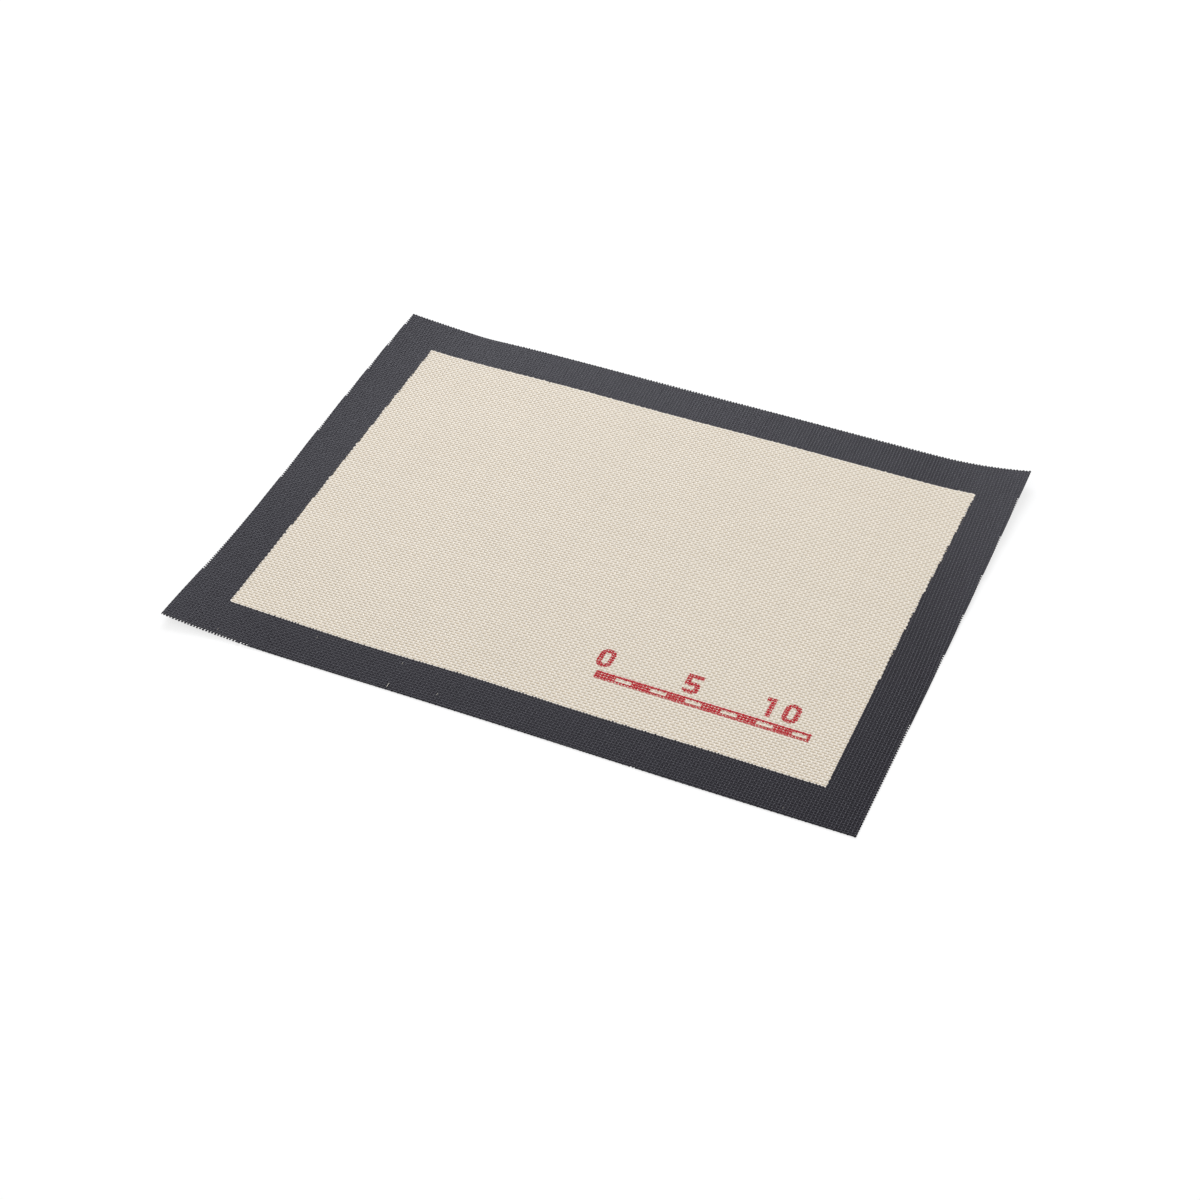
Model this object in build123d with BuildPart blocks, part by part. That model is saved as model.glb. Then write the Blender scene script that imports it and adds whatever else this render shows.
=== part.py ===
from build123d import *
from math import cos, radians, sin, sqrt, tan
import os

os.makedirs("parts", exist_ok=True)

# A flexible baking mat: one sheet of open glass-fibre cloth with a coat of silicone on
# each face, pale over the baking field and charcoal over the border round it.
# The mat lies on z = 0 with its long side along X, its front edge towards -Y and the
# middle of its underside at the origin. Every layer follows the same shape: flat, with
# three corners that curl up. All lengths are in millimetres and all angles in degrees.

# Sheet
mat_length = 400.0
mat_width = 300.0
border_width = 26.0
cloth_thickness = 0.4
coat_thickness = 0.2

# Corner curls. The lift is how far the corner stands up, the reach is how far in from
# the corner the bend starts, and the turn is the angle from X of the way it curls.
back_left_lift = 3.2
back_left_reach = 60.0
back_left_turn = 20.0
back_right_lift = 6.7
back_right_reach = 55.0
back_right_turn = 16.0
front_left_lift = 4.5
front_left_reach = 60.0
front_left_turn = 32.0

# Printed centimetre scale, set in from the front and right edges of the field
scale_division = 10.0
scale_divisions = 12
scale_right_margin = 19.0
scale_front_margin = 25.0
bar_height = 6.0
bar_line = 1.8
ink_thickness = 0.05

# Numbers over the scale
digit_gap = 3.0
digit_height = 14.0
digit_width = 9.0
digit_stroke = 2.8
digit_spacing = 2.6
digit_corner_radius = 4.2
flag_width = 2.4
numbered_divisions = (0, 5, 10)

# Spare length of shapes that are trimmed
overrun = 5.0

field_length = mat_length - 2 * border_width
field_width = mat_width - 2 * border_width
cloth_base = coat_thickness
upper_coat_base = cloth_base + cloth_thickness
mat_top = upper_coat_base + coat_thickness
highest_lift = max(back_left_lift, back_right_lift, front_left_lift)
trim_height = mat_top + highest_lift + 2 * overrun

# Each curl: which end of X and of Y its corner is at, then its lift, reach and turn
curls = [
    (-1, 1, back_left_lift, back_left_reach, back_left_turn),
    (1, 1, back_right_lift, back_right_reach, back_right_turn),
    (-1, -1, front_left_lift, front_left_reach, front_left_turn),
]


def curl_direction(x_end, y_end, turn):
    return Vector(x_end * cos(radians(turn)), y_end * sin(radians(turn)), 0)


def bend_point(x_end, y_end, reach, turn):
    corner = Vector(x_end * mat_length / 2, y_end * mat_width / 2, 0)
    return corner - curl_direction(x_end, y_end, turn) * reach


def lay_sheet(base, thickness):
    """Lay one layer, larger than the mat all round: its flat part, then its curls."""
    with BuildSketch(Plane.XY.offset(base)) as blank:
        Rectangle(mat_length + 2 * overrun, mat_width + 2 * overrun)
    extrude(blank.sketch, amount=thickness)
    for x_end, y_end, lift, reach, turn in curls:
        outward = curl_direction(x_end, y_end, turn)
        bend_line = bend_point(x_end, y_end, reach, turn)
        split(bisect_by=Plane(origin=bend_line, z_dir=outward), keep=Keep.BOTTOM)
    for x_end, y_end, lift, reach, turn in curls:
        outward = curl_direction(x_end, y_end, turn)
        along_bend = outward.cross(Vector(0, 0, 1))
        bend_line = bend_point(x_end, y_end, reach, turn)
        bend_radius = (reach**2 + lift**2) / (2 * lift)
        run = reach + 2 * overrun
        rise = bend_radius - sqrt(bend_radius**2 - run**2)
        with BuildSketch(Plane(origin=bend_line, x_dir=outward, z_dir=along_bend)) as curl:
            with BuildLine():
                under = TangentArc((0, base), (run, base + rise), tangent=(1, 0))
                over = TangentArc(
                    (0, base + thickness), (run, base + thickness + rise), tangent=(1, 0)
                )
                Line(under @ 0, over @ 0)
                Line(under @ 1, over @ 1)
            make_face()
        extrude(curl.sketch, amount=reach / tan(radians(turn)) + 2 * overrun, both=True)


def trim_to(length, width, opening_length=0, opening_width=0):
    """Trim the layer, square down, to a rectangle or to a frame round an opening."""
    with BuildSketch(Plane.XY.offset(-overrun)) as outline:
        Rectangle(length, width)
        if opening_length:
            Rectangle(opening_length, opening_width, mode=Mode.SUBTRACT)
    extrude(outline.sketch, amount=trim_height, mode=Mode.INTERSECT)


# Charcoal coat of the border, under the cloth
with BuildPart() as border_coat_lower:
    lay_sheet(0, coat_thickness)
    trim_to(mat_length, mat_width, field_length, field_width)

# Pale coat of the field, under the cloth
with BuildPart() as field_coat_lower:
    lay_sheet(0, coat_thickness)
    trim_to(field_length, field_width)

# Glass-fibre cloth, which runs out to the cut edge
with BuildPart() as glass_cloth:
    lay_sheet(cloth_base, cloth_thickness)
    trim_to(mat_length, mat_width)

# Charcoal coat of the border, over the cloth
with BuildPart() as border_coat_upper:
    lay_sheet(upper_coat_base, coat_thickness)
    trim_to(mat_length, mat_width, field_length, field_width)

# Pale coat of the field, over the cloth
with BuildPart() as field_coat_upper:
    lay_sheet(upper_coat_base, coat_thickness)
    trim_to(field_length, field_width)


scale_length = scale_division * scale_divisions
scale_start = field_length / 2 - scale_right_margin - scale_length
bar_middle = -field_width / 2 + scale_front_margin + bar_height / 2
digit_middle = bar_middle + bar_height / 2 + digit_gap + digit_height / 2


def draw_zero():
    RectangleRounded(digit_width, digit_height, digit_corner_radius)
    RectangleRounded(
        digit_width - 2 * digit_stroke,
        digit_height - 2 * digit_stroke,
        digit_corner_radius - digit_stroke,
        mode=Mode.SUBTRACT,
    )


def draw_one():
    Rectangle(digit_stroke, digit_height)
    with Locations((-digit_stroke / 2, digit_height / 2)):
        Rectangle(flag_width, digit_stroke, align=(Align.MAX, Align.MAX))


def draw_five():
    bowl_height = (digit_height + digit_stroke) / 2
    bowl_inside = bowl_height - 2 * digit_stroke
    with Locations((0, -digit_height / 2 + bowl_height / 2)):
        RectangleRounded(digit_width, bowl_height, digit_stroke)
        RectangleRounded(
            digit_width - 2 * digit_stroke, bowl_inside, bowl_inside / 4, mode=Mode.SUBTRACT
        )
    with Locations((-digit_width / 2, -digit_height / 2 + bowl_height / 2)):
        Rectangle(2 * digit_stroke, bowl_inside, align=(Align.MIN, Align.CENTER), mode=Mode.SUBTRACT)
    with Locations((-digit_width / 2, digit_height / 2)):
        Rectangle(digit_width, digit_stroke, align=(Align.MIN, Align.MAX))
        Rectangle(
            digit_stroke, digit_height - bowl_height + digit_stroke, align=(Align.MIN, Align.MAX)
        )


draw_digit = {"0": draw_zero, "1": draw_one, "5": draw_five}

# Red print: a bar of solid and open divisions, with its numbers
with BuildPart() as scale_print:
    with BuildSketch(Plane.XY.offset(mat_top)):
        with Locations((scale_start + scale_length / 2, bar_middle)):
            Rectangle(scale_length + bar_line, bar_height)
            Rectangle(scale_length - bar_line, bar_height - 2 * bar_line, mode=Mode.SUBTRACT)
        for division in range(0, scale_divisions, 2):
            with Locations((scale_start + scale_division * division, bar_middle)):
                Rectangle(
                    scale_division + bar_line / 2, bar_height, align=(Align.MIN, Align.CENTER)
                )
        for division in numbered_divisions:
            digits = str(division)
            digit_step = digit_width + digit_spacing
            first_middle = scale_start + scale_division * division
            first_middle -= digit_step * (len(digits) - 1) / 2
            for place, digit in enumerate(digits):
                with Locations((first_middle + digit_step * place, digit_middle)):
                    draw_digit[digit]()
    extrude(amount=ink_thickness)


for name, piece in {
    "border_coat_lower": border_coat_lower,
    "field_coat_lower": field_coat_lower,
    "glass_cloth": glass_cloth,
    "border_coat_upper": border_coat_upper,
    "field_coat_upper": field_coat_upper,
    "scale_print": scale_print,
}.items():
    piece.part.label = name
    export_step(piece.part, f"parts/{name}.step")
    size = piece.part.bounding_box().size
    print(f"{name}: {size.X:.2f} x {size.Y:.2f} x {size.Z:.2f} mm")
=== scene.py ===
import bpy
import math
import numpy as np
from mathutils import Matrix, Vector


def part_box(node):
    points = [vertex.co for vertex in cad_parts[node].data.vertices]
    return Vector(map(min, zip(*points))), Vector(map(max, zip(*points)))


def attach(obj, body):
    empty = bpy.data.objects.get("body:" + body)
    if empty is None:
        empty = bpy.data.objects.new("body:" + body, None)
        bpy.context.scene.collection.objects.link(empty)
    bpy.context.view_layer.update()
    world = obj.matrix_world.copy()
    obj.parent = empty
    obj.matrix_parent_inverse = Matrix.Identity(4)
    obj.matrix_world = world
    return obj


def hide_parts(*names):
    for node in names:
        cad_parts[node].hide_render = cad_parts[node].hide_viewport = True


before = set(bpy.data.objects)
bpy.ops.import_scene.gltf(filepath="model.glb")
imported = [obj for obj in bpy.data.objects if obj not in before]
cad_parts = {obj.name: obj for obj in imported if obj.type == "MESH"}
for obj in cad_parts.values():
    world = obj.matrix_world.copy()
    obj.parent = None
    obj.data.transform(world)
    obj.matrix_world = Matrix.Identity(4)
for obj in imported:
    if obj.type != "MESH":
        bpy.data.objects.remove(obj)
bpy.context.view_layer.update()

# Everything is in metres, in the mat's own frame: X along the long side, Y to the back, Z up.
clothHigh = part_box("glass_cloth")[1]
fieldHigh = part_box("field_coat_upper")[1]
inkLow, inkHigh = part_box("scale_print")
halfLength, halfWidth = clothHigh.x, clothHigh.y
fieldHalfLength, fieldHalfWidth = fieldHigh.x, fieldHigh.y
borderWidth = halfLength - fieldHalfLength
sheetThickness = inkLow.z  # the print lies on the flat of the mat

# The curled corners: which end of X and Y, lift, reach to the bend line, turn from X in degrees
cornerCurls = {
    "backLeft": dict(xEnd=-1, yEnd=1, lift=0.0032, reach=0.060, turn=20),
    "backRight": dict(xEnd=1, yEnd=1, lift=0.0067, reach=0.055, turn=16),
    "frontLeft": dict(xEnd=-1, yEnd=-1, lift=0.0045, reach=0.060, turn=32),
}

# The cloth is a plain weave. Warp yarns run front to back and weft yarns left to right.
weave = dict(
    warpPitch=0.00185,  # from one warp yarn to the next
    weftPitch=0.001765,
    warpShift=0.0005,  # how far the middle warp yarn stands off the middle of the mat
    warpWidth=0.00116,  # with its coat
    weftWidth=0.00108,
    leanBack=3.15,  # degrees by which the warp leans to the left on its way back
    leanFront=0.3,
    leanTurn=-0.043,  # where the one lean gives way to the other, and over what length
    leanBlend=0.015,
    leanSamples=801,  # places at which the lean is added up
    waveLength=0.139,  # of the slow waves of the weft
    frontWave=0.00045,
    frontTrough=-0.090,
    backWave=0.0003,
    backCrest=-0.077,
    waveFade=0.75,  # how much weaker the waves are at the right end, and stronger at the left
    widthSpread=0.04,  # share by which one yarn's width differs from the next
    wander=0.00004,  # how far a yarn strays sideways
    wanderLength=0.055,  # and over what length, times a share of its own for each yarn
    wanderShares=(0.7, 1.6),
    crownShare=0.23,  # share of a pitch over which a yarn lies level to each side of a crossing
    sides=6,  # corners round a yarn
    sliver=0.35,  # share of its width by which a yarn may pass the knife before it drops off
    seed=11,
)

# How far a yarn's middle line goes up and down, and half its height: the border has more coat,
# which levels the weave
relief = {
    "warp": dict(fieldCrimp=0.00023, fieldHalf=0.00017, borderCrimp=0.00008, borderHalf=0.00028),
    "weft": dict(fieldCrimp=0.00010, fieldHalf=0.00020, borderCrimp=0.00006, borderHalf=0.00022),
}

# Where the pale field gives way to the border
fieldShape = dict(
    leftIn=0.0010,  # how far each edge stands inside the planned rectangle
    rightIn=-0.0003,
    frontIn=-0.0006,
    backIn=0.0009,
    rightBow=0.0011,  # the right edge is drawn in towards its middle
    rightBowMiddle=-0.017,
    unevenness=0.0002,  # how far the colour runs past the line, yarn by yarn
    panels=7,  # the field's yarns are cut into this many pieces, side by side
)

# The knife's line round the mat, as small departures from its rectangle
knife = dict(
    leftWave=0.0005,
    leftWaveLength=0.224,
    leftWaveMiddle=-0.062,  # where the left edge is drawn in most
    cornerIn=0.0008,  # at the back end of the left edge
    cornerLength=0.050,
    frontCornerIn=0.0006,
    frontCornerLength=0.030,
    cornerEnd=1.2,  # where the curve of a corner stops, in lengths of its own
    rightOut=0.0004,
    frontOut=0.0008,
    frontTurn=0.0001,
    frontTip=0.0006,  # how much further out the front edge stands at its left end
    frontTipReach=0.030,
    frontWave=0.00024,
    frontWaveLength=0.250,
    frontWaveMiddle=-0.010,  # where the front edge is drawn in most
    backIn=0.0008,
    dip=0.0014,  # a shallow notch in the back edge
    dipMiddle=-0.147,
    dipReach=0.020,
    filledFrom=-0.150,  # the coat fills the meshes to the front edge, from here to the right
    filledBlend=0.008,
    notches=0.03,  # share of the meshes at that edge that are open all the same
    seed=3,
)

# The silicone that closes the meshes: its underside, its top in each part of the mat, and the
# small pit in the middle of a mesh. A tone is a share of a crown's colour; a low tone draws the
# colour toward the hollow colour, painted shade on the border's recessed film and in the pits.
film = dict(
    low=0.00025,
    field=dict(high=0.00050, tone=0.80, pitted=False),
    border=dict(high=0.00055, tone=0.66, pitted=True),
    pitRim=0.30,  # the pit's width at the top and at the bottom, as a share of a pitch
    pitFloor=0.23,
    pitDepth=0.00028,
    # the pit floor's tone, far toward the hollow colour: painted shade in the pit
    pitShade=0.30,
)

randomYarn = np.random.default_rng(weave["seed"])


# How far the mat stands up at a place, from its curled corners
def curlHeight(x, y):
    height = np.zeros_like(x)
    for curl in cornerCurls.values():
        lift, reach, turn = curl["lift"], curl["reach"], math.radians(curl["turn"])
        inX = halfLength - curl["xEnd"] * x
        inY = halfWidth - curl["yEnd"] * y
        past = np.clip(reach - inX * math.cos(turn) - inY * math.sin(turn), 0, reach)
        radius = (reach**2 + lift**2) / (2 * lift)
        height = height + radius - np.sqrt(radius**2 - past**2)
    return height


# The slow waves of the weft, strongest at the front left and the back left
def weftWave(x, start):
    turns = 2 * math.pi / weave["waveLength"]
    front = -weave["frontWave"] * np.cos(turns * (x - weave["frontTrough"]))
    back = weave["backWave"] * np.cos(turns * (x - weave["backCrest"]))
    frontShare, backShare = np.clip(-start / halfWidth, 0, 1), np.clip(start / halfWidth, 0, 1)
    return (front * frontShare + back * backShare) * (1 - weave["waveFade"] * x / halfLength)


def leftEdge(y):
    return np.full_like(y, fieldShape["leftIn"] - fieldHalfLength)


def rightEdge(y):
    bow = (y - fieldShape["rightBowMiddle"]) / fieldHalfWidth
    return fieldHalfLength - fieldShape["rightIn"] + fieldShape["rightBow"] * bow**2


def frontEdge(x):
    return -fieldHalfWidth + fieldShape["frontIn"] + weftWave(x, -fieldHalfWidth)


def backEdge(x):
    return fieldHalfWidth - fieldShape["backIn"] + weftWave(x, fieldHalfWidth)


def leftKnife(y):
    wave = np.cos(2 * math.pi * (y - knife["leftWaveMiddle"]) / knife["leftWaveLength"])
    back = np.clip((y - halfWidth) / knife["cornerLength"] + 1, 0, knife["cornerEnd"]) ** 2
    front = np.clip((-y - halfWidth) / knife["frontCornerLength"] + 1, 0, knife["cornerEnd"]) ** 2
    drawnIn = knife["cornerIn"] * back + knife["frontCornerIn"] * front
    return -halfLength + knife["leftWave"] * wave + drawnIn


def rightKnife(y):
    return np.full_like(y, halfLength + knife["rightOut"])


def frontKnife(x):
    wave = np.cos(2 * math.pi * (x - knife["frontWaveMiddle"]) / knife["frontWaveLength"])
    tip = knife["frontTip"] * np.exp(-(((x + halfLength) / knife["frontTipReach"]) ** 2))
    out = knife["frontOut"] + knife["frontTurn"] * x / halfLength + tip
    return -halfWidth - out + knife["frontWave"] * wave


def backKnife(x):
    dip = knife["dip"] * np.exp(-(((x - knife["dipMiddle"]) / knife["dipReach"]) ** 2))
    return halfWidth - knife["backIn"] - dip


# Paths of the yarns

spareLength = 0.012  # the cloth is woven past the knife line
settleRounds = 4
warpCount = 2 * math.ceil((halfLength + spareLength) / weave["warpPitch"]) + 1
weftCount = 2 * math.ceil((halfWidth + spareLength) / weave["weftPitch"]) + 1
warpStart = (np.arange(warpCount) - warpCount // 2) * weave["warpPitch"] + weave["warpShift"]
weftStart = (np.arange(weftCount) - weftCount // 2) * weave["weftPitch"]
leanReach = halfWidth + 2 * spareLength
leanPlaces = np.linspace(-leanReach, leanReach, weave["leanSamples"])
leanShare = 1 / (1 + np.exp((weave["leanTurn"] - leanPlaces) / weave["leanBlend"]))
leanAngles = weave["leanFront"] + (weave["leanBack"] - weave["leanFront"]) * leanShare
leanSteps = np.tan(np.radians(leanAngles)) * (leanPlaces[1] - leanPlaces[0])
leanDrift = np.cumsum(leanSteps) - np.interp(0, leanPlaces, np.cumsum(leanSteps))


# Random phases, lengths and offsets that let each yarn stray in its own way
def straying(count, width):
    return dict(
        phase=randomYarn.uniform(0, 2 * math.pi, count),
        length=weave["wanderLength"] * randomYarn.uniform(*weave["wanderShares"], count),
        offset=randomYarn.normal(0, weave["wander"] / 2, count),
        width=width * (1 + randomYarn.normal(0, weave["widthSpread"], count)),
        tone=randomYarn.random(count),
        lowRun=randomYarn.normal(0, fieldShape["unevenness"], count),
        highRun=randomYarn.normal(0, fieldShape["unevenness"], count),
    )


warpStray = straying(warpCount, weave["warpWidth"])
weftStray = straying(weftCount, weave["weftWidth"])


def strayAt(stray, which, along):
    wave = np.sin(2 * math.pi * along / stray["length"][which] + stray["phase"][which])
    return stray["offset"][which] + weave["wander"] * wave


def warpX(which, y):
    return warpStart[which] - np.interp(y, leanPlaces, leanDrift) + strayAt(warpStray, which, y)


def weftY(which, x):
    start = weftStart[which]
    return start + weftWave(x, start) + strayAt(weftStray, which, x)


# The crossings, found by turns along the one set of yarns and along the other
warpIndex, weftIndex = np.meshgrid(np.arange(warpCount), np.arange(weftCount), indexing="ij")
crossX, crossY = warpStart[warpIndex], weftStart[weftIndex]
for settle in range(settleRounds):
    crossY = weftY(weftIndex, crossX)
    crossX = warpX(warpIndex, crossY)
warpOver = (warpIndex + weftIndex) % 2 == 0


# Where the rings of each yarn stand, counted in crossings. The ring nearest to each end of
# the field is moved onto it, so that the two colours meet there.
def ringPlaces(crossings, ends):
    counted = np.arange(crossings.shape[1])
    level = np.stack([counted - weave["crownShare"], counted + weave["crownShare"]], -1)
    places = np.tile(level.ravel()[1:-1], (len(crossings), 1))
    for yarn, lowAndHigh in enumerate(zip(*ends)):
        for end in lowAndHigh:
            at = np.interp(end, crossings[yarn], counted)
            places[yarn, np.abs(places[yarn] - at).argmin()] = at
    return places


# How a yarn goes up and down: level at each crossing and sloping between them, from 1 to -1
def crimpWave(places):
    slant = 1 - 2 * np.abs((places + 1) % 2 - 1)
    return np.clip(slant / (1 - 2 * weave["crownShare"]), -1, 1)


# The values at the crossings, read between them at the given places
def atPlaces(values, places):
    low = np.minimum(places.astype(int), values.shape[1] - 2)
    share = places - low
    before, after = np.take_along_axis(values, low, 1), np.take_along_axis(values, low + 1, 1)
    return before * (1 - share) + after * share


# The corners of every ring of a set of yarns: yarn, ring, corner, xyz
def yarnRings(centres, widths, halfHeight):
    tangent = np.gradient(centres, axis=1)
    tangent /= np.linalg.norm(tangent, axis=-1, keepdims=True)
    side = np.cross(tangent, [0, 0, 1])
    side /= np.linalg.norm(side, axis=-1, keepdims=True)
    upward = np.cross(side, tangent)
    angles = 2 * math.pi * np.arange(weave["sides"]) / weave["sides"]
    across = np.cos(angles)[None, None, :, None] * widths[:, None, None, None] / 2
    above = np.sin(angles)[None, None, :, None] / np.sin(angles).max() * halfHeight[..., None, None]
    return centres[:, :, None] + side[:, :, None] * across + upward[:, :, None] * above


# Where each yarn comes into the field and leaves it
def fieldEnds(isWarp, stray):
    if isWarp:
        which = np.arange(warpCount)
        low, high = frontEdge(warpX(which, -fieldHalfWidth)), backEdge(warpX(which, fieldHalfWidth))
    else:
        low, high = leftEdge(weftStart), rightEdge(weftStart)
    return low + stray["lowRun"], high + stray["highRun"]


# One set of yarns: its rings, and for each stretch between two rings whether it is on the
# mat, and the panel or border strip that it belongs to
def weaveYarns(isWarp):
    crossings = crossY if isWarp else crossX.T
    stray = warpStray if isWarp else weftStray
    which = np.arange(len(crossings))[:, None]
    ends = fieldEnds(isWarp, stray)
    places = ringPlaces(crossings, ends)
    along = atPlaces(crossings, places)
    across = warpX(which, along) if isWarp else weftY(which, along)
    over = warpOver if isWarp else ~warpOver.T
    wave = np.where(over[:, :1], 1.0, -1.0) * crimpWave(places)
    x, y = (across, along) if isWarp else (along, across)
    pale = (along >= ends[0][:, None]) & (along <= ends[1][:, None]) & insideLines(x, y, isWarp)
    shape = relief["warp" if isWarp else "weft"]
    heights = sheetThickness / 2 + np.where(pale, shape["fieldCrimp"], shape["borderCrimp"]) * wave
    centres = np.stack([x, y, heights], -1)
    rings = yarnRings(centres, stray["width"], np.where(pale, shape["fieldHalf"], shape["borderHalf"]))
    # cut at the knife's line, then lifted with the corners
    ringX, ringY = rings[..., 0].copy(), rings[..., 1].copy()
    rings[..., 0] = np.clip(ringX, leftKnife(ringY), rightKnife(ringY))
    rings[..., 1] = np.clip(ringY, frontKnife(ringX), backKnife(ringX))
    crown = rings[..., 2] / sheetThickness
    rings[..., 2] += curlHeight(rings[..., 0], rings[..., 1])
    # a stretch stays where its yarn is on the mat, to its sides and along it
    before, behind = (leftKnife, rightKnife) if isWarp else (frontKnife, backKnife)
    start, end = (frontKnife, backKnife) if isWarp else (leftKnife, rightKnife)
    sliver = weave["sliver"] * stray["width"][:, None]
    frontSliver = sliver if isWarp else np.where(along < knife["filledFrom"], 0, sliver)
    beside = (across >= before(along) - frontSliver) & (across <= behind(along) + sliver)
    within = (along >= start(across)) & (along <= end(across))
    onMat = (within[:, 1:] | within[:, :-1]) & beside[:, 1:] & beside[:, :-1]
    middle = (centres[:, 1:] + centres[:, :-1]) / 2
    middleAlong = middle[..., 1] if isWarp else middle[..., 0]
    inField = (middleAlong > ends[0][:, None]) & (middleAlong < ends[1][:, None])
    inField &= insideLines(middle[..., 0], middle[..., 1], isWarp)
    if isWarp:
        warpAt = np.repeat(which, places.shape[1] - 1, 1)
    else:
        warpAt = ((places[:, 1:] + places[:, :-1]) / 2 + 0.5).astype(int)
    label = labelOf(middle[..., 0], middle[..., 1], inField, warpAt)
    return dict(rings=rings, crown=crown, onMat=onMat, label=label, tone=stray["tone"])


# Whether a stretch lies between the field's edges on the two sides that it runs beside
def insideLines(x, y, isWarp):
    if isWarp:
        return (x > leftEdge(y)) & (x < rightEdge(y))
    return (y > frontEdge(x)) & (y < backEdge(x))


firstFieldWarp = math.ceil(warpCount / 2 - fieldHalfLength / weave["warpPitch"])
frontStrip, backStrip, leftStrip, rightStrip = range(4)


# The number of the field panel, or after those the number of the border strip
def labelOf(x, y, inField, warpAt):
    panels = fieldShape["panels"]
    perPanel = 2 * fieldHalfLength / weave["warpPitch"] / panels
    panel = np.clip(((warpAt - firstFieldWarp) / perPanel).astype(int), 0, panels - 1)
    strip = np.where(x < 0, leftStrip, rightStrip)
    strip = np.where(y > backEdge(x), backStrip, np.where(y < frontEdge(x), frontStrip, strip))
    return np.where(inField, panel, panels + strip)


warp, weft = weaveYarns(True), weaveYarns(False)
print(f"weave: {warpCount} warp and {weftCount} weft yarns")

# Meshes

noCaps = np.empty((0, weave["sides"]), int)
joinRounds = 4  # a neighbour that is added can touch a further cell
mapMargin = 0.01


# The side faces and the closed ends of the stretches of one yarn set that carry a label
def stretchFaces(yarns, label):
    sides = weave["sides"]
    count, ringCount = yarns["rings"].shape[:2]
    keep = yarns["onMat"] & (yarns["label"] == label)
    base = (np.arange(count)[:, None] * ringCount + np.arange(ringCount)[None]) * sides
    start, end = base[:, :-1][keep], base[:, 1:][keep]
    corner, following = np.arange(sides), (np.arange(sides) + 1) % sides
    quads = np.stack([
        start[:, None] + following, start[:, None] + corner,
        end[:, None] + corner, end[:, None] + following,
    ], -1).reshape(-1, 4)
    padded = np.pad(keep, ((0, 0), (1, 1)))
    opens, closes = padded[:, 1:] & ~padded[:, :-1], ~padded[:, 1:] & padded[:, :-1]
    caps = np.concatenate([
        base[opens][:, None] + np.arange(sides), base[closes][:, None] + np.arange(sides)[::-1],
    ])
    return quads, caps


# The faces of closed slabs on grids of points, one grid to a layer of the mask, and which of
# them are walls. The points of the bottoms follow those of the tops.
def slabFaces(mask):
    layers, rows, columns = mask.shape
    index = np.arange(layers * (rows + 1) * (columns + 1)).reshape(layers, rows + 1, columns + 1)
    bottom = index.size
    corners = [index[:, :-1, :-1], index[:, 1:, :-1], index[:, 1:, 1:], index[:, :-1, 1:]]
    chosen = [corner[mask] for corner in corners]
    quads = [np.stack(chosen, -1), np.stack(chosen[::-1], -1) + bottom]
    padded = np.pad(mask, ((0, 0), (1, 1), (1, 1)))
    for side, (down, right) in enumerate([(1, 0), (2, 1), (1, 2), (0, 1)]):
        bare = mask & ~padded[:, down:down + rows, right:right + columns]
        first, second = corners[side][bare], corners[(side + 1) % 4][bare]
        quads.append(np.stack([second, first, first + bottom, second + bottom], -1))
    quads = np.concatenate(quads)
    return quads, np.arange(len(quads)) >= 2 * mask.sum()


# Cells that touch only at a corner get a neighbour, so that each slab stays sound
def joinCorners(mask):
    for again in range(joinRounds):
        a, b = mask[:, :-1, :-1], mask[:, 1:, 1:]
        c, d = mask[:, 1:, :-1], mask[:, :-1, 1:]
        c |= a & b & ~c & ~d
        a |= c & d & ~a & ~b
    return mask


# A mesh of quads and of end faces, with only the points that they use. Walls and end faces
# are flat, with sharp edges round them.
def meshFrom(name, points, quads, walls, caps, attributes):
    used, faces = np.unique(np.concatenate([quads.ravel(), caps.ravel()]), return_inverse=True)
    mesh = bpy.data.meshes.new(name)
    mesh.vertices.add(len(used))
    mesh.vertices.foreach_set("co", points[used].astype(np.float32).ravel())
    mesh.loops.add(len(faces))
    mesh.loops.foreach_set("vertex_index", faces.astype(np.int32))
    starts = np.concatenate([
        np.arange(len(quads)) * 4, quads.size + np.arange(len(caps)) * caps.shape[-1],
    ])
    mesh.polygons.add(len(starts))
    mesh.polygons.foreach_set("loop_start", starts.astype(np.int32))
    mesh.update(calc_edges=True)
    flatFaces = np.concatenate([walls, np.ones(len(caps), bool)])
    mesh.polygons.foreach_set("use_smooth", ~flatFaces)
    edgeOf = np.empty(len(faces), np.int32)
    mesh.loops.foreach_get("edge_index", edgeOf)
    totals = np.repeat([4, weave["sides"]], [len(quads), len(caps)])
    sharp = np.zeros(len(mesh.edges), bool)
    sharp[edgeOf[np.repeat(flatFaces, totals)]] = True
    mesh.attributes.new("sharp_edge", "BOOLEAN", "EDGE").data.foreach_set("value", sharp)
    for attributeName, values in attributes.items():
        layer = mesh.attributes.new(attributeName, "FLOAT", "POINT")
        layer.data.foreach_set("value", values[used].astype(np.float32))
    mesh.validate()
    layOutMap(mesh)
    return mesh


# A flat map: the upper faces in one half of the square and the lower ones in the other
def layOutMap(mesh):
    corners = np.empty(len(mesh.vertices) * 3, np.float32)
    mesh.vertices.foreach_get("co", corners)
    corners = corners.reshape(-1, 3)
    cornerOf = np.empty(len(mesh.loops), np.int32)
    mesh.loops.foreach_get("vertex_index", cornerOf)
    totals = np.empty(len(mesh.polygons), np.int32)
    mesh.polygons.foreach_get("loop_total", totals)
    normals = np.empty(len(mesh.polygons) * 3, np.float32)
    mesh.polygons.foreach_get("normal", normals)
    facesDown = np.repeat(normals.reshape(-1, 3)[:, 2] < 0, totals)
    low, high = corners.min(0), corners.max(0)
    place = (corners[cornerOf, :2] - low[:2]) / (high[:2] - low[:2])
    place = mapMargin + (1 - 2 * mapMargin) * place
    split = 0 if high[1] - low[1] > high[0] - low[0] else 1
    place[:, split] = (place[:, split] + facesDown) / 2
    mesh.uv_layers.new(name="OFBake").data.foreach_set("uv", place.ravel())


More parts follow.
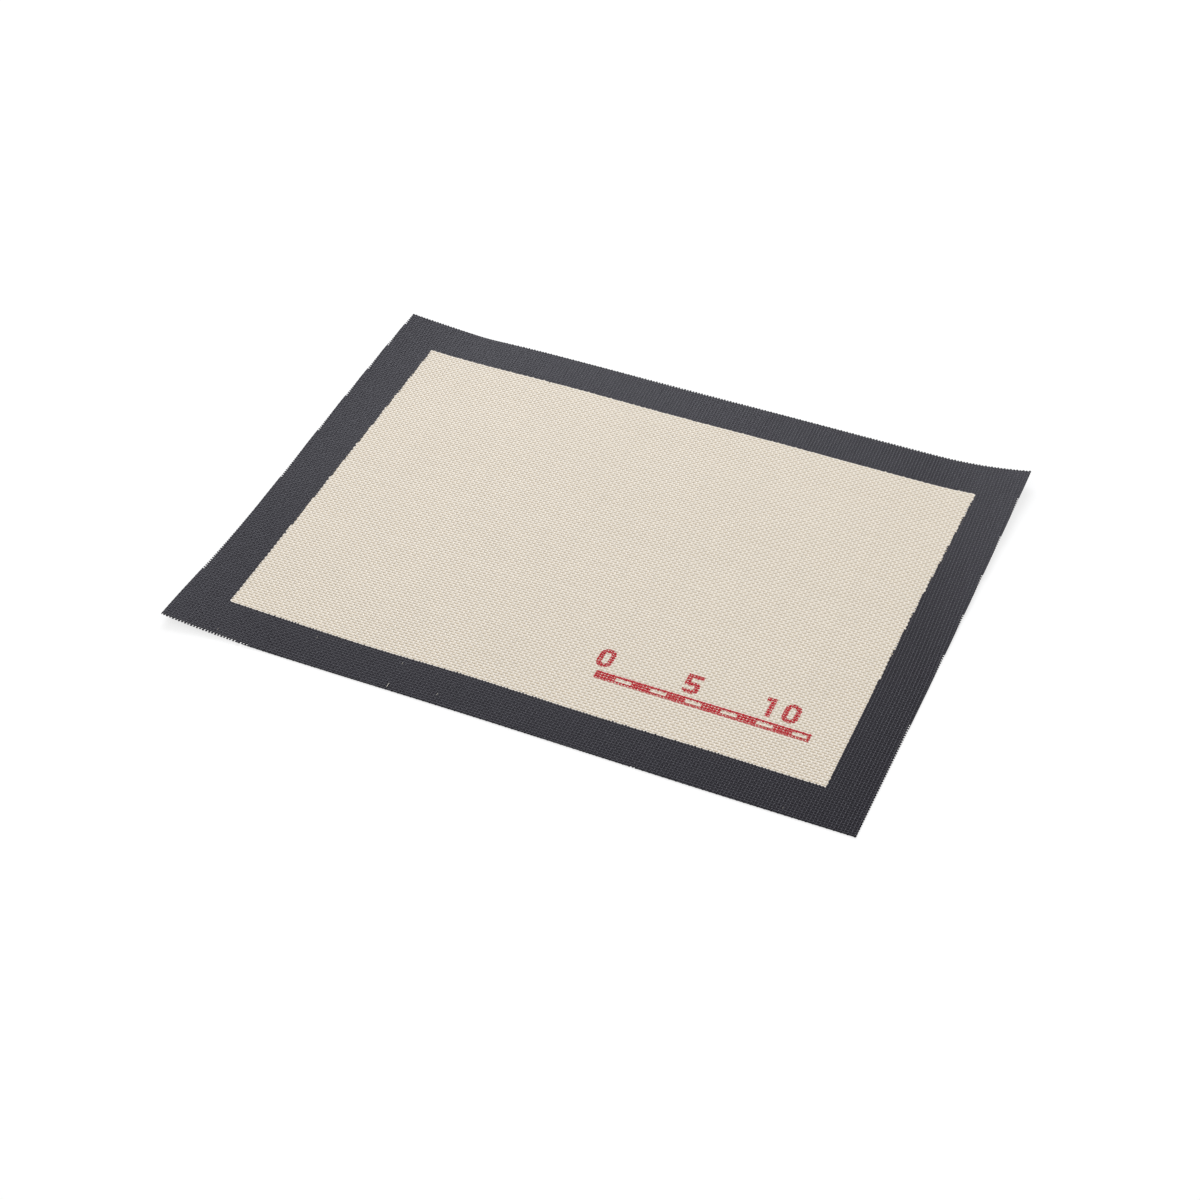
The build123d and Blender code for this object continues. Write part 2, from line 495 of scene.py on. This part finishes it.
def addPiece(name, mesh, material, slotName, nodes):
    mesh.materials.append(material)
    piece = bpy.data.objects.new(name, mesh)
    bpy.context.scene.collection.objects.link(piece)
    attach(piece, "root")
    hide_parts(*nodes)
    return piece


# One panel or strip of coated yarns
def addNet(name, label, flat, **coat):
    quads, caps = stretchFaces(warp, label)
    moreQuads, moreCaps = stretchFaces(weft, label)
    warpPoints, weftPoints = warp["crown"].size, weft["crown"].size
    tones = [np.repeat(yarns["tone"], yarns["crown"][0].size) for yarns in (warp, weft)]
    mesh = meshFrom(
        name,
        np.concatenate([warp["rings"].reshape(-1, 3), weft["rings"].reshape(-1, 3)]),
        np.concatenate([quads, moreQuads + warpPoints]),
        np.zeros(len(quads) + len(moreQuads), bool),
        np.concatenate([caps, moreCaps + warpPoints]),
        {
            "crown": np.concatenate([warp["crown"].ravel(), weft["crown"].ravel()]),
            "yarnTone": np.concatenate(tones),
            "weft": np.repeat([0.0, 1.0], [warpPoints, weftPoints]),
        },
    )
    addPiece(name, mesh, **coat)


# Upper faces with a pit sunk in each: all the points, and the faces in place of the given
# ones, which are first the floors, then the rings round the rims, then the pits' sides
def sinkPits(points, tops):
    corners = points[tops]
    middle = corners.mean(1, keepdims=True)
    rim = middle + film["pitRim"] * (corners - middle)
    floor = middle + film["pitFloor"] * (corners - middle) - [0, 0, film["pitDepth"]]
    rimQuads = len(points) + np.arange(tops.size).reshape(-1, 4)
    floorQuads = rimQuads + tops.size
    quads = [floorQuads]
    for outer, inner in ((tops, rimQuads), (rimQuads, floorQuads)):
        for corner in range(4):
            following = (corner + 1) % 4
            ring = [outer[:, corner], outer[:, following], inner[:, following], inner[:, corner]]
            quads.append(np.stack(ring, -1))
    return np.concatenate([points, rim.reshape(-1, 3), floor.reshape(-1, 3)]), np.concatenate(quads)


# The thin silicone in the meshes of the field or of one strip: its corners are the crossings
def addFilm(name, cells, part, flat, **coat):
    x = np.clip(crossX, leftKnife(crossY), rightKnife(crossY)).ravel()
    y = np.clip(crossY, frontKnife(crossX), backKnife(crossX)).ravel()
    bottoms = np.stack([x, y, curlHeight(x, y) + film["low"]], -1)
    tops = np.stack([x, y, curlHeight(x, y) + part["high"]], -1)
    points = np.concatenate([tops, bottoms])
    quads, walls = slabFaces(cells[None])
    tones = np.full(len(points), part["tone"])
    if part["pitted"]:
        upper, others = quads[:cells.sum()], quads[cells.sum():]
        points, sunk = sinkPits(points, upper)
        quads = np.concatenate([sunk, others])
        flatSunk = np.repeat([True, False, True], np.array([1, 4, 4]) * len(upper))
        walls = np.concatenate([flatSunk, walls[cells.sum():]])
        # the pits' floors take the pit's tone and their sides shade into it: painted shade
        pitTones = np.repeat([part["tone"], film["pitShade"]], upper.size)
        tones = np.concatenate([tones, pitTones])
    mesh = meshFrom(name, points, quads, walls, noCaps, {"crown": tones})
    addPiece(name, mesh, **coat)


# Materials


# A colour as the eye reads it, from 0 to 255, made linear
def linear(red, green, blue):
    shares = [value / 255 for value in (red, green, blue)]
    return tuple(s / 12.92 if s <= 0.04045 else ((s + 0.055) / 1.055) ** 2.4 for s in shares)


def groupNodes(name, inputs, outputs):
    group = bpy.data.node_groups.new(name, "ShaderNodeTree")
    for socketName, kind, value in inputs:
        socket = group.interface.new_socket(socketName, in_out="INPUT", socket_type=kind)
        socket.default_value = value
    for socketName, kind in outputs:
        group.interface.new_socket(socketName, in_out="OUTPUT", socket_type=kind)
    nodes, links = group.nodes, group.links
    return group, nodes, links, nodes.new("NodeGroupInput"), nodes.new("NodeGroupOutput")


def mathNode(nodes, links, operation, *values):
    node = nodes.new("ShaderNodeMath")
    node.operation = operation
    for place, value in enumerate(values):
        if isinstance(value, bpy.types.NodeSocket):
            links.new(value, node.inputs[place])
        else:
            node.inputs[place].default_value = value
    return node.outputs[0]


def attributeNode(nodes, name):
    node = nodes.new("ShaderNodeAttribute")
    node.attribute_name = name
    return node.outputs["Fac"]


silicone = dict(
    crownFrom=0.35,  # height, as a share of the sheet's, at which the crown's colour begins
    crownTo=0.75,
    cloudSize=22.0,
    cloudDetail=3.0,
    grainSize=5200.0,
    grainDetail=2.0,
    grainRoughness=0.12,
    grainHeight=0.00003,
    ior=1.41,
)


# Silicone on a yarn: pale on the crown and darker lower down, partly the coat, thin on the crown
# and pooled in the hollows, and partly painted shade of the recesses. Uneven from yarn to yarn
# and clouded over the sheet, with the filaments' fine grain under it
def coatedYarnGroup():
    group, nodes, links, inside, outside = groupNodes(
        "coatedYarn",
        [
            ("Crown Color", "NodeSocketColor", (0.8, 0.8, 0.8, 1)),
            ("Hollow Color", "NodeSocketColor", (0.5, 0.5, 0.5, 1)),
            ("Weft Shade", "NodeSocketFloat", 0.2),
            ("Yarn Spread", "NodeSocketFloat", 0.05),
            ("Cloud Spread", "NodeSocketFloat", 0.04),
            ("Cloud Size", "NodeSocketFloat", silicone["cloudSize"]),
            ("Roughness", "NodeSocketFloat", 0.5),
        ],
        [("Color", "NodeSocketColor"), ("Roughness", "NodeSocketFloat"), ("Height", "NodeSocketFloat")],
    )
    place = nodes.new("ShaderNodeTexCoord").outputs["Object"]
    ramp = nodes.new("ShaderNodeMapRange")
    ramp.interpolation_type = "SMOOTHSTEP"
    links.new(attributeNode(nodes, "crown"), ramp.inputs["Value"])
    ramp.inputs["From Min"].default_value = silicone["crownFrom"]
    ramp.inputs["From Max"].default_value = silicone["crownTo"]
    # the weft, lying lower between the warp's crowns, is drawn toward the hollow colour by this share:
    # painted shade
    drop = mathNode(nodes, links, "MULTIPLY", attributeNode(nodes, "weft"), inside.outputs["Weft Shade"])
    kept = mathNode(nodes, links, "SUBTRACT", 1.0, drop)
    share = mathNode(nodes, links, "MULTIPLY", ramp.outputs["Result"], kept)
    blend = nodes.new("ShaderNodeMix")
    blend.data_type = "RGBA"
    links.new(share, blend.inputs["Factor"])
    links.new(inside.outputs["Hollow Color"], blend.inputs["A"])
    links.new(inside.outputs["Crown Color"], blend.inputs["B"])
    cloud = nodes.new("ShaderNodeTexNoise")
    links.new(place, cloud.inputs["Vector"])
    links.new(inside.outputs["Cloud Size"], cloud.inputs["Scale"])
    cloud.inputs["Detail"].default_value = silicone["cloudDetail"]
    yarnPart = mathNode(nodes, links, "SUBTRACT", attributeNode(nodes, "yarnTone"), 0.5)
    yarnPart = mathNode(nodes, links, "MULTIPLY", yarnPart, inside.outputs["Yarn Spread"])
    cloudPart = mathNode(nodes, links, "SUBTRACT", cloud.outputs["Fac"], 0.5)
    cloudPart = mathNode(nodes, links, "MULTIPLY", cloudPart, inside.outputs["Cloud Spread"])
    value = mathNode(nodes, links, "ADD", yarnPart, cloudPart)
    value = mathNode(nodes, links, "ADD", value, 1.0)
    shade = nodes.new("ShaderNodeHueSaturation")
    links.new(blend.outputs["Result"], shade.inputs["Color"])
    links.new(value, shade.inputs["Value"])
    links.new(shade.outputs["Color"], outside.inputs["Color"])
    grain = nodes.new("ShaderNodeTexNoise")
    links.new(place, grain.inputs["Vector"])
    grain.inputs["Scale"].default_value = silicone["grainSize"]
    grain.inputs["Detail"].default_value = silicone["grainDetail"]
    links.new(grain.outputs["Fac"], outside.inputs["Height"])
    rough = mathNode(nodes, links, "SUBTRACT", grain.outputs["Fac"], 0.5)
    rough = mathNode(nodes, links, "MULTIPLY", rough, silicone["grainRoughness"])
    rough = mathNode(nodes, links, "ADD", rough, inside.outputs["Roughness"])
    links.new(rough, outside.inputs["Roughness"])
    return group


coatedYarn = coatedYarnGroup()

# Colours as the eye reads them. A spread is how much lighter or darker it gets from yarn to
# yarn and from place to place. The hollow colour, taken low on the yarns and in the film, is
# partly the coat pooled there and partly painted shade of the recesses.
coatLooks = {
    "paleSilicone": dict(
        crown=linear(246, 237, 223), hollow=linear(205, 189, 162), weftShade=0.8, yarnSpread=0.04,
        cloudSpread=0.04, roughness=0.5, specular=0.4, tint=(1, 1, 1), bump=0.25,
    ),
    "charcoalSilicone": dict(
        crown=linear(30, 27, 34), hollow=linear(13, 12, 16), weftShade=0.3, yarnSpread=0.15,
        cloudSpread=0.1, roughness=0.34, specular=0.20, tint=(0.865, 0.86, 1.0), bump=0.25,
    ),
    # the ink's hollow colour, taken low on the yarns, is painted shade on the print
    "redInk": dict(
        crown=linear(190, 14, 32), hollow=linear(165, 10, 26), weftShade=0.0, yarnSpread=0.1,
        cloudSpread=0.2, roughness=0.5, specular=0.25, tint=(1, 1, 1), bump=0.25,
    ),
    "glassFibre": dict(
        crown=linear(240, 234, 218), hollow=linear(240, 234, 218), weftShade=0.0, yarnSpread=0.1,
        cloudSpread=0.0, roughness=0.4, specular=0.5, tint=(1, 1, 1), bump=0.0,
    ),
}


def coatedMaterial(name):
    look = coatLooks[name]
    material = bpy.data.materials.new(name)
    material.use_nodes = True
    nodes, links = material.node_tree.nodes, material.node_tree.links
    shader = nodes["Principled BSDF"]
    coat = nodes.new("ShaderNodeGroup")
    coat.node_tree = coatedYarn
    coat.inputs["Crown Color"].default_value = (*look["crown"], 1)
    coat.inputs["Hollow Color"].default_value = (*look["hollow"], 1)
    coat.inputs["Weft Shade"].default_value = look["weftShade"]
    coat.inputs["Yarn Spread"].default_value = look["yarnSpread"]
    coat.inputs["Cloud Spread"].default_value = look["cloudSpread"]
    coat.inputs["Roughness"].default_value = look["roughness"]
    links.new(coat.outputs["Color"], shader.inputs["Base Color"])
    links.new(coat.outputs["Roughness"], shader.inputs["Roughness"])
    bump = nodes.new("ShaderNodeBump")
    bump.inputs["Strength"].default_value = look["bump"]
    bump.inputs["Distance"].default_value = silicone["grainHeight"]
    links.new(coat.outputs["Height"], bump.inputs["Height"])
    links.new(bump.outputs["Normal"], shader.inputs["Normal"])
    shader.inputs["IOR"].default_value = silicone["ior"]
    shader.inputs["Specular IOR Level"].default_value = look["specular"]
    shader.inputs["Specular Tint"].default_value = (*look["tint"], 1)
    return material


# The panels of the field and the four strips of the border, each with its film

fieldCoat = dict(
    material=coatedMaterial("paleSilicone"),
    slotName="pale_silicone",
    nodes=("field_coat_upper", "field_coat_lower", "glass_cloth"),
)
borderCoat = dict(
    material=coatedMaterial("charcoalSilicone"),
    slotName="charcoal_silicone",
    nodes=("border_coat_upper", "border_coat_lower", "glass_cloth"),
)
longFlat, shortFlat = (2 * halfLength, borderWidth), (borderWidth, 2 * fieldHalfWidth)
borderStrips = {
    frontStrip: ("borderFront", longFlat),
    backStrip: ("borderBack", longFlat),
    leftStrip: ("borderLeft", shortFlat),
    rightStrip: ("borderRight", shortFlat),
}


# Which meshes are on the mat, which of them are in the field, and the panel or strip of each.
# At the front edge the coat fills the meshes from a certain place on, but for a few notches.
def filmCells():
    reach = weave["sliver"] * weave["warpWidth"]
    randomEdge = np.random.default_rng(knife["seed"])
    filledShare = 1 / (1 + np.exp((knife["filledFrom"] - crossX) / knife["filledBlend"]))
    filledShare = np.minimum(filledShare, 1 - knife["notches"])
    filled = randomEdge.random(warpCount)[:, None] < filledShare
    frontReach = np.where(filled, weave["weftPitch"], 0)
    onMat = (crossX >= leftKnife(crossY) - reach) & (crossX <= rightKnife(crossY) + reach)
    onMat &= (crossY >= frontKnife(crossX) - frontReach) & (crossY <= backKnife(crossX) + reach)
    onMat = onMat[1:, 1:] & onMat[1:, :-1] & onMat[:-1, 1:] & onMat[:-1, :-1]
    x = (crossX[1:, 1:] + crossX[:-1, :-1]) / 2
    y = (crossY[1:, 1:] + crossY[:-1, :-1]) / 2
    inField = insideLines(x, y, True) & insideLines(x, y, False)
    inField = joinCorners(inField[None].copy())[0]
    return onMat, inField, labelOf(x, y, inField, warpIndex[:-1, :-1])


panels = fieldShape["panels"]
for panel in range(panels):
    panelFlat = (2 * fieldHalfLength / panels, 2 * fieldHalfWidth)
    addNet(f"fieldCloth{panel + 1}", panel, panelFlat, **fieldCoat)
cellsOnMat, cellsInField, cellLabels = filmCells()
fieldFlat = (2 * fieldHalfLength, 2 * fieldHalfWidth)
addFilm("fieldFilm", cellsInField, film["field"], fieldFlat, **fieldCoat)
for strip, (name, flat) in borderStrips.items():
    addNet(name, panels + strip, flat, **borderCoat)
    cells = cellsOnMat & (cellLabels == panels + strip)
    addFilm(name + "Film", cells, film["border"], flat, **borderCoat)
print("cloth: field panels and border strips made")

# A few stray filaments of the cloth, caught on the coat of the front border

filaments = dict(
    rings=9,
    arch=0.00012,  # how far a filament's middle stands up
    strays=[  # middle, length, turn from Y in degrees, radius
        (-0.0630, -0.1478, 0.0030, 1, 0.00014),
        (-0.0360, -0.1436, 0.0014, -2, 0.00011),
        (-0.1670, -0.1470, 0.0018, 2, 0.00005),
        (0.1600, -0.1470, 0.0014, -4, 0.00005),
        (-0.0635, -0.1300, 0.0013, 3, 0.00007),
        (-0.1150, -0.1305, 0.0011, 5, 0.00006),
    ],
)


def filamentMesh():
    sides, ringCount = weave["sides"], filaments["rings"]
    angles = 2 * math.pi * np.arange(sides) / sides
    corner, following = np.arange(sides), (np.arange(sides) + 1) % sides
    points, quads, caps = [], [], []
    for x, y, length, turn, radius in filaments["strays"]:
        first = len(points) * ringCount * sides
        share = np.linspace(-1, 1, ringCount)[:, None]
        turned = math.radians(turn)
        ringX = x - share * length / 2 * math.sin(turned) + radius * np.cos(angles)
        ringY = y + share * length / 2 * math.cos(turned) + 0 * angles
        ringZ = filaments["arch"] * (1 - share**2) + radius * (1 + np.sin(angles))
        ringZ = ringZ + sheetThickness + curlHeight(ringX, ringY)
        points.append(np.stack([ringX, ringY, ringZ], -1).reshape(-1, 3))
        base = first + np.arange(ringCount - 1)[:, None] * sides
        end = base + sides
        quads.append(np.stack([base + corner, base + following, end + following, end + corner], -1))
        caps += [first + corner[::-1], first + (ringCount - 1) * sides + corner]
    quads = np.concatenate(quads).reshape(-1, 4)
    points = np.concatenate(points)
    tones = {"crown": np.ones(len(points)), "yarnTone": np.full(len(points), 0.5)}
    return meshFrom("strayFilaments", points, quads, np.zeros(len(quads), bool), np.array(caps), tones)


glassFibre = coatedMaterial("glassFibre")
addPiece("strayFilaments", filamentMesh(), glassFibre, "glass_fibre_cloth", ("glass_cloth",))
print(f"filaments: {len(filaments['strays'])} on the front border")

# The printed scale: red ink on the yarns and the film, with a small hole at the middle of each
# mesh. Its place comes from the node's box: the bar ends at the right, the digits at the back.

printShape = dict(
    division=0.010,
    divisions=12,
    barHeight=0.006,
    line=0.0018,
    digitHeight=0.014,
    digitWidth=0.009,
    stroke=0.0028,
    digitStep=0.0116,
    cornerRadius=0.0042,
    flagWidth=0.0024,
    numbers={0: "0", 5: "5", 10: "10"},
    unevenEdge=0.00012,
    reachDown=(0.47, 0.53),  # share of the sheet's height that the ink reaches down to
    perStretch=5,  # cells of ink along a yarn from ring to ring
    columns=(0.15, 0.6, 1, 1.5, 2, 2.4, 2.85),  # its cells across, counted in the yarn's corners
    above=0.00002,
    below=0.00001,
    perMesh=10,  # cells of ink on the film from crossing to crossing
    meshShare=0.26,  # how far they reach from a mesh's middle, as a share of a pitch
    hole=(0.00025, 0.00034),  # the open middle's radius
    filmTone=0.8,
    yarnTone=0.5,
    near=0.005,  # how far round the print the weave is looked at
    seed=5,
)


# Whether places lie in a rectangle with rounded corners, given by its middle and size
def insideBlock(x, y, middleX, middleY, width, height, radius=0.0):
    pastX = np.abs(x - middleX) - (width / 2 - radius)
    pastY = np.abs(y - middleY) - (height / 2 - radius)
    rounded = np.hypot(np.maximum(pastX, 0), np.maximum(pastY, 0)) <= radius
    return rounded & (pastX <= radius) & (pastY <= radius)


def insideDigit(digit, x, y):
    height, width, stroke = printShape["digitHeight"], printShape["digitWidth"], printShape["stroke"]
    radius, bowl = printShape["cornerRadius"], (height + stroke) / 2
    if digit == "0":
        outer = insideBlock(x, y, 0, 0, width, height, radius)
        return outer & ~insideBlock(x, y, 0, 0, width - 2 * stroke, height - 2 * stroke, radius - stroke)
    if digit == "1":
        flag = printShape["flagWidth"]
        stem = insideBlock(x, y, 0, 0, stroke, height)
        return stem | insideBlock(x, y, -(stroke + flag) / 2, (height - stroke) / 2, flag, stroke)
    middle, opening = (bowl - height) / 2, bowl - 2 * stroke
    ring = insideBlock(x, y, 0, middle, width, bowl, stroke)
    ring &= ~insideBlock(x, y, 0, middle, width - 2 * stroke, opening, opening / 4)
    ring &= ~insideBlock(x, y, stroke - width / 2, middle, 2 * stroke, opening)
    stemHeight = height - bowl + stroke
    stem = insideBlock(x, y, (stroke - width) / 2, (height - stemHeight) / 2, stroke, stemHeight)
    return ring | stem | insideBlock(x, y, 0, (height - stroke) / 2, width, stroke)


def insidePrint(x, y):
    division, count = printShape["division"], printShape["divisions"]
    height, line = printShape["barHeight"], printShape["line"]
    start = inkHigh.x - line / 2 - division * count
    middle, digitMiddle = inkLow.y + height / 2, inkHigh.y - printShape["digitHeight"] / 2
    barX = start + division * count / 2
    inked = insideBlock(x, y, barX, middle, division * count + line, height)
    inked &= ~insideBlock(x, y, barX, middle, division * count - line, height - 2 * line)
    filled = division + line / 2
    for number in range(0, count, 2):
        inked |= insideBlock(x, y, start + division * number + filled / 2, middle, filled, height)
    for number, digits in printShape["numbers"].items():
        firstX = start + division * number - printShape["digitStep"] * (len(digits) - 1) / 2
        for place, digit in enumerate(digits):
            digitX = firstX + printShape["digitStep"] * place
            inked |= insideDigit(digit, x - digitX, y - digitMiddle)
    return inked


# The rows and columns of a grid of places that come near the print
def nearPrint(x, y):
    near = (x > inkLow.x - printShape["near"]) & (x < inkHigh.x + printShape["near"])
    near &= (y > inkLow.y - printShape["near"]) & (y < inkHigh.y + printShape["near"])
    rows, columns = np.flatnonzero(near.any(1)), np.flatnonzero(near.any(0))
    return np.arange(rows[0], rows[-1] + 1), np.arange(columns[0], columns[-1] + 1)


# Values read between the entries of one axis
def readBetween(values, places, axis):
    low = np.minimum(places.astype(int), values.shape[axis] - 2)
    share = np.expand_dims(places - low, tuple(range(1, values.ndim - axis)))
    return np.take(values, low, axis) * (1 - share) + np.take(values, low + 1, axis) * share


# Places along an axis with so many entries, with as many steps put between them
def inSteps(count, steps):
    return np.arange((count - 1) * steps + 1) / steps


# The ink on one set of yarns, as cells that lie close over the coat
def inkOn(yarns):
    rings = yarns["rings"]
    yarnsNear, ringsNear = nearPrint(rings[:, :, 0, 0], rings[:, :, 0, 1])
    cut = np.ix_(yarnsNear, ringsNear)
    fields = np.concatenate([rings[cut], yarns["crown"][cut][..., None]], -1)
    fields = readBetween(fields, inSteps(len(ringsNear), printShape["perStretch"]), 1)
    fields = readBetween(fields, np.array(printShape["columns"]), 2)
    middle = (fields[:, 1:, 1:] + fields[:, :-1, :-1]) / 2
    x, y, height = middle[..., 0], middle[..., 1], middle[..., 3]
    strayX, strayY = randomInk.normal(0, printShape["unevenEdge"], (2, *x.shape))
    reached = randomInk.uniform(*printShape["reachDown"], x.shape)
    quads, walls = slabFaces(joinCorners(insidePrint(x + strayX, y + strayY) & (height > reached)))
    tops = fields[..., :3] + [0, 0, printShape["above"]]
    bottoms = fields[..., :3] - [0, 0, printShape["below"]]
    return dict(
        points=np.concatenate([tops.reshape(-1, 3), bottoms.reshape(-1, 3)]),
        quads=quads,
        walls=walls,
        crown=np.tile(fields[..., 3].ravel(), 2),
        yarnTone=np.tile(np.repeat(yarns["tone"][yarnsNear], fields[0, ..., 0].size), 2),
    )


# Values at the crossings near the print, with steps put between them both ways
def refined(values):
    values = values[np.ix_(*nearPrint(crossX, crossY))]
    for axis in (0, 1):
        values = readBetween(values, inSteps(values.shape[axis], printShape["perMesh"]), axis)
    return values


# The ink on the film round the middle of each mesh
def inkOnFilm():
    steps, meshShare = printShape["perMesh"], printShape["meshShare"]
    x, y = refined(crossX), refined(crossY)
    meshes = [(size - 1) // steps for size in x.shape]
    offWarp = (np.arange(len(x) - 1)[:, None] + 0.5) / steps % 1 - 0.5
    offWeft = (np.arange(x.shape[1] - 1)[None] + 0.5) / steps % 1 - 0.5
    shown = (np.abs(offWarp) < meshShare) & (np.abs(offWeft) < meshShare)
    fromMiddle = np.hypot(offWarp * weave["warpPitch"], offWeft * weave["weftPitch"])
    holes = randomInk.uniform(*printShape["hole"], meshes)
    shown &= fromMiddle > holes.repeat(steps, 0).repeat(steps, 1)
    middleX, middleY = (x[1:, 1:] + x[:-1, :-1]) / 2, (y[1:, 1:] + y[:-1, :-1]) / 2
    strayX, strayY = randomInk.normal(0, printShape["unevenEdge"], (2, *middleX.shape))
    shown &= insidePrint(middleX + strayX, middleY + strayY)
    quads, walls = slabFaces(joinCorners(shown[None]))
    middles = np.stack([x, y, np.full_like(x, film["field"]["high"])], -1).reshape(-1, 3)
    points = np.concatenate([
        middles + [0, 0, printShape["above"]], middles - [0, 0, printShape["below"]],
    ])
    return dict(
        points=points,
        quads=quads,
        walls=walls,
        crown=np.full(len(points), printShape["filmTone"]),
        yarnTone=np.full(len(points), printShape["yarnTone"]),
    )


randomInk = np.random.default_rng(printShape["seed"])
inkParts = [inkOn(warp), inkOn(weft), inkOnFilm()]
pointsBefore = 0
for part in inkParts:
    part["quads"] += pointsBefore
    pointsBefore += len(part["points"])
ink = {key: np.concatenate([part[key] for part in inkParts]) for key in inkParts[0]}
inkTones = {"crown": ink["crown"], "yarnTone": ink["yarnTone"]}
inkMesh = meshFrom("scalePrint", ink["points"], ink["quads"], ink["walls"], noCaps, inkTones)
addPiece("scalePrint", inkMesh, coatedMaterial("redInk"), "red_ink", ("scale_print",))
print(f"print: {len(inkMesh.polygons)} faces of ink on the yarns and the film")

# Camera, light and floor

view = dict(
    eye=(0.4266, -0.9591, 0.9330),
    aim=(0.01305, -0.04184, 0.0),
    roll=-0.66,  # degrees
    lens=74.94,
    sensor=36.0,
    nearest=0.05,
    farthest=50.0,
)


def placeCamera():
    data = bpy.data.cameras.new("photoCamera")
    data.lens, data.sensor_width = view["lens"], view["sensor"]
    data.clip_start, data.clip_end = view["nearest"], view["farthest"]
    camera = bpy.data.objects.new("photoCamera", data)
    eye, aim = Vector(view["eye"]), Vector(view["aim"])
    facing = (aim - eye).to_track_quat("-Z", "Y").to_matrix().to_4x4()
    roll = Matrix.Rotation(math.radians(view["roll"]), 4, "Z")
    camera.matrix_world = Matrix.Translation(eye) @ facing @ roll
    bpy.context.scene.collection.objects.link(camera)
    bpy.context.scene.camera = camera


studio = dict(
    worldStrength=0.595,
    softboxPlace=(-1.27, 2.5, 1.85),
    softboxAim=(0.0, 0.0, 0.0),
    softboxWidth=2.4,
    softboxHeight=1.4,
    softboxPower=72.0,
    softboxColor=(0.94, 0.96, 1.0),
    floorSize=12.0,
    floorDrop=0.00005,
    floorTone=0.35,
    floorRoughness=0.9,
    floorGlow=0.72,  # what the camera sees on top of the floor's own colour, up to white
)


def lightStudio():
    world = bpy.data.worlds.new("studio")
    bpy.context.scene.world = world
    world.use_nodes = True
    nodes, links = world.node_tree.nodes, world.node_tree.links
    background = nodes["Background"]
    background.inputs["Color"].default_value = (1, 1, 1, 1)
    path = nodes.new("ShaderNodeLightPath")
    seen = mathNode(nodes, links, "MAXIMUM", path.outputs["Is Camera Ray"], path.outputs["Is Glossy Ray"])
    seen = mathNode(nodes, links, "MAXIMUM", seen, path.outputs["Is Transmission Ray"])
    extra = mathNode(nodes, links, "MULTIPLY", seen, 1 - studio["worldStrength"])
    strength = mathNode(nodes, links, "ADD", extra, studio["worldStrength"])
    links.new(strength, background.inputs["Strength"])
    data = bpy.data.lights.new("softbox", "AREA")
    data.shape, data.size, data.size_y = "ELLIPSE", studio["softboxWidth"], studio["softboxHeight"]
    data.energy, data.color = studio["softboxPower"], studio["softboxColor"]
    softbox = bpy.data.objects.new("softbox", data)
    place, aim = Vector(studio["softboxPlace"]), Vector(studio["softboxAim"])
    facing = (aim - place).to_track_quat("-Z", "Y").to_matrix().to_4x4()
    softbox.matrix_world = Matrix.Translation(place) @ facing
    bpy.context.scene.collection.objects.link(softbox)


def layFloor():
    half, drop = studio["floorSize"] / 2, studio["floorDrop"]
    mesh = bpy.data.meshes.new("floor")
    corners = [(-half, -half, -drop), (half, -half, -drop), (half, half, -drop), (-half, half, -drop)]
    mesh.from_pydata(corners, [], [(0, 1, 2, 3)])
    floor = bpy.data.objects.new("floor", mesh)
    bpy.context.scene.collection.objects.link(floor)
    material = bpy.data.materials.new("paleFloor")
    material.use_nodes = True
    nodes, links = material.node_tree.nodes, material.node_tree.links
    shader = nodes["Principled BSDF"]
    shader.inputs["Base Color"].default_value = (*[studio["floorTone"]] * 3, 1)
    shader.inputs["Roughness"].default_value = studio["floorRoughness"]
    shader.inputs["Specular IOR Level"].default_value = 0.0
    shader.inputs["Emission Color"].default_value = (1, 1, 1, 1)
    path = nodes.new("ShaderNodeLightPath")
    glow = mathNode(nodes, links, "MULTIPLY", path.outputs["Is Camera Ray"], studio["floorGlow"])
    links.new(glow, shader.inputs["Emission Strength"])
    mesh.materials.append(material)


placeCamera()
lightStudio()
layFloor()
bpy.context.scene.view_settings.view_transform = "Standard"
print("studio: camera, light and floor in place")
